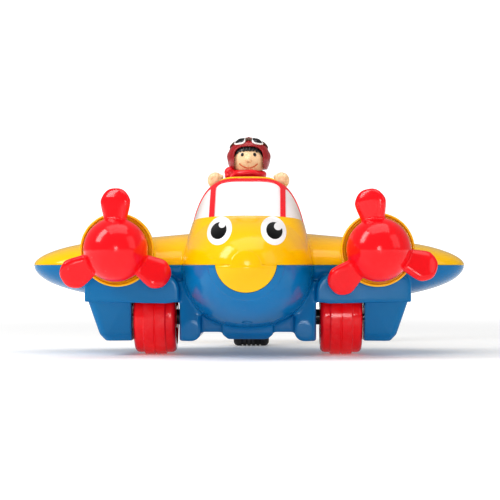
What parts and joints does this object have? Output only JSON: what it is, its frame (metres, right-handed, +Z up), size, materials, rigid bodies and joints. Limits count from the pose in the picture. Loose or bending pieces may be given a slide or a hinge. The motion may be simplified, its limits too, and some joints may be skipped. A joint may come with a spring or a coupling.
{
  "type": "toy airplane",
  "caption": "Push-along toy airplane with two three-bladed propellers geared to the front wheels, a friction motor, a rear roller and a lift-out pilot.",
  "frame": {"origin": "on the ground, midway between the wing tips and midway between nose and rudder", "axes": "nose towards -Y, +Z up, +X towards the right wing as seen from the front"},
  "size_m": [0.2698, 0.262, 0.1352],
  "materials": {
    "blue_plastic": "glossy moulded ABS",
    "yellow_plastic": "glossy moulded ABS",
    "milky_plastic": "opaque milky white moulding",
    "red_paint": "glossy red paint on the moulding",
    "grey_plastic": "matte bearing plastic",
    "black_plastic": "matte black moulding",
    "bright_steel": "bright drawn steel",
    "black_rubber": "moulded black rubber",
    "red_plastic": "glossy red moulding",
    "gear_nylon": "natural nylon",
    "jacket_vinyl": "painted vinyl",
    "skin_vinyl": "soft vinyl",
    "scarf_vinyl": "painted vinyl",
    "hair_vinyl": "painted vinyl",
    "helmet_vinyl": "painted vinyl",
    "goggle_vinyl": "painted vinyl"
  },
  "bodies": {
    "airframe": {"lower_shell": "blue_plastic", "left_gear_housing": "blue_plastic", "right_gear_housing": "blue_plastic", "upper_shell": "yellow_plastic", "tail_fin": "yellow_plastic", "tailplane": "yellow_plastic", "left_cowl": "yellow_plastic", "right_cowl": "yellow_plastic", "windscreen": "milky_plastic", "windscreen_frame": "red_paint", "cockpit_tub": "blue_plastic", "left_gear_plate": "grey_plastic", "right_gear_plate": "grey_plastic", "axle_bushes": "grey_plastic", "prop_bearings": "grey_plastic", "motor_frame_left": "black_plastic", "motor_frame_right": "black_plastic", "motor_screws": "bright_steel", "body_screws": "bright_steel", "roller_bracket": "blue_plastic", "roller_pin": "bright_steel"},
    "front_axle": {"axle_rod": "bright_steel", "left_wheel": "red_plastic", "right_wheel": "red_plastic", "hub_spacers": "black_plastic", "left_axle_gear": "gear_nylon", "right_axle_gear": "gear_nylon", "motor_drive_gear": "gear_nylon"},
    "left_idler": {"left_idler_gear": "gear_nylon"},
    "right_idler": {"right_idler_gear": "gear_nylon"},
    "left_crown": {"left_crown_gear": "gear_nylon"},
    "right_crown": {"right_crown_gear": "gear_nylon"},
    "left_prop": {"left_prop_shaft": "bright_steel", "left_pinion": "gear_nylon", "left_propeller": "red_plastic", "left_hub_plate": "red_plastic"},
    "right_prop": {"right_prop_shaft": "bright_steel", "right_pinion": "gear_nylon", "right_propeller": "red_plastic", "right_hub_plate": "red_plastic"},
    "motor_cluster": {"cluster_gear": "gear_nylon"},
    "motor_flywheel": {"flywheel": "bright_steel", "flywheel_pinion": "gear_nylon"},
    "tail_roller": {"rear_roller": "black_rubber"},
    "pilot": {"pilot_body": "jacket_vinyl", "pilot_hands": "skin_vinyl", "pilot_scarf": "scarf_vinyl"},
    "pilot_top": {"pilot_head": "skin_vinyl", "pilot_hair": "hair_vinyl", "pilot_helmet": "helmet_vinyl", "pilot_goggles": "goggle_vinyl"}
  },
  "joints": [
    {"name": "axle_spin", "type": "hinge", "parent": "airframe", "child": "front_axle", "pos_m": [0, -0.045, 0.023], "axis": [1, 0, 0], "continuous": true},
    {"name": "left_idler_spin", "type": "hinge", "parent": "airframe", "child": "left_idler", "pos_m": [-0.0857, -0.045, 0.0435], "axis": [1, 0, 0], "continuous": true},
    {"name": "right_idler_spin", "type": "hinge", "parent": "airframe", "child": "right_idler", "pos_m": [0.0857, -0.045, 0.0435], "axis": [1, 0, 0], "continuous": true},
    {"name": "left_crown_spin", "type": "hinge", "parent": "airframe", "child": "left_crown", "pos_m": [-0.0857, -0.045, 0.064], "axis": [1, 0, 0], "continuous": true},
    {"name": "right_crown_spin", "type": "hinge", "parent": "airframe", "child": "right_crown", "pos_m": [0.0857, -0.045, 0.064], "axis": [1, 0, 0], "continuous": true},
    {"name": "left_prop_spin", "type": "hinge", "parent": "airframe", "child": "left_prop", "pos_m": [-0.0775, -0.09, 0.064], "axis": [0, 1, 0], "continuous": true},
    {"name": "right_prop_spin", "type": "hinge", "parent": "airframe", "child": "right_prop", "pos_m": [0.0775, -0.09, 0.064], "axis": [0, 1, 0], "continuous": true},
    {"name": "cluster_spin", "type": "hinge", "parent": "airframe", "child": "motor_cluster", "pos_m": [0, -0.033, 0.023], "axis": [1, 0, 0], "continuous": true},
    {"name": "flywheel_spin", "type": "hinge", "parent": "airframe", "child": "motor_flywheel", "pos_m": [0, -0.02451, 0.03148], "axis": [1, 0, 0], "continuous": true},
    {"name": "roller_spin", "type": "hinge", "parent": "airframe", "child": "tail_roller", "pos_m": [0, 0.07, 0.015], "axis": [1, 0, 0], "continuous": true},
    {"name": "pilot_lift", "type": "slide", "parent": "airframe", "child": "pilot", "axis": [0, 0, 1], "range_m": [0, 0.06]},
    {"name": "head_turn", "type": "hinge", "parent": "pilot", "child": "pilot_top", "pos_m": [0, -0.03, 0.12], "axis": [0, 0, 1], "range_deg": [-60, 60]}
  ],
  "couplings": [
    {"joint": "left_idler_spin", "follows": "axle_spin", "ratio": -1.1579},
    {"joint": "right_idler_spin", "follows": "axle_spin", "ratio": -1.1579},
    {"joint": "left_crown_spin", "follows": "axle_spin", "ratio": 1},
    {"joint": "right_crown_spin", "follows": "axle_spin", "ratio": 1},
    {"joint": "left_prop_spin", "follows": "axle_spin", "ratio": -3},
    {"joint": "right_prop_spin", "follows": "axle_spin", "ratio": 3},
    {"joint": "cluster_spin", "follows": "axle_spin", "ratio": -2},
    {"joint": "flywheel_spin", "follows": "axle_spin", "ratio": 6}
  ]
}
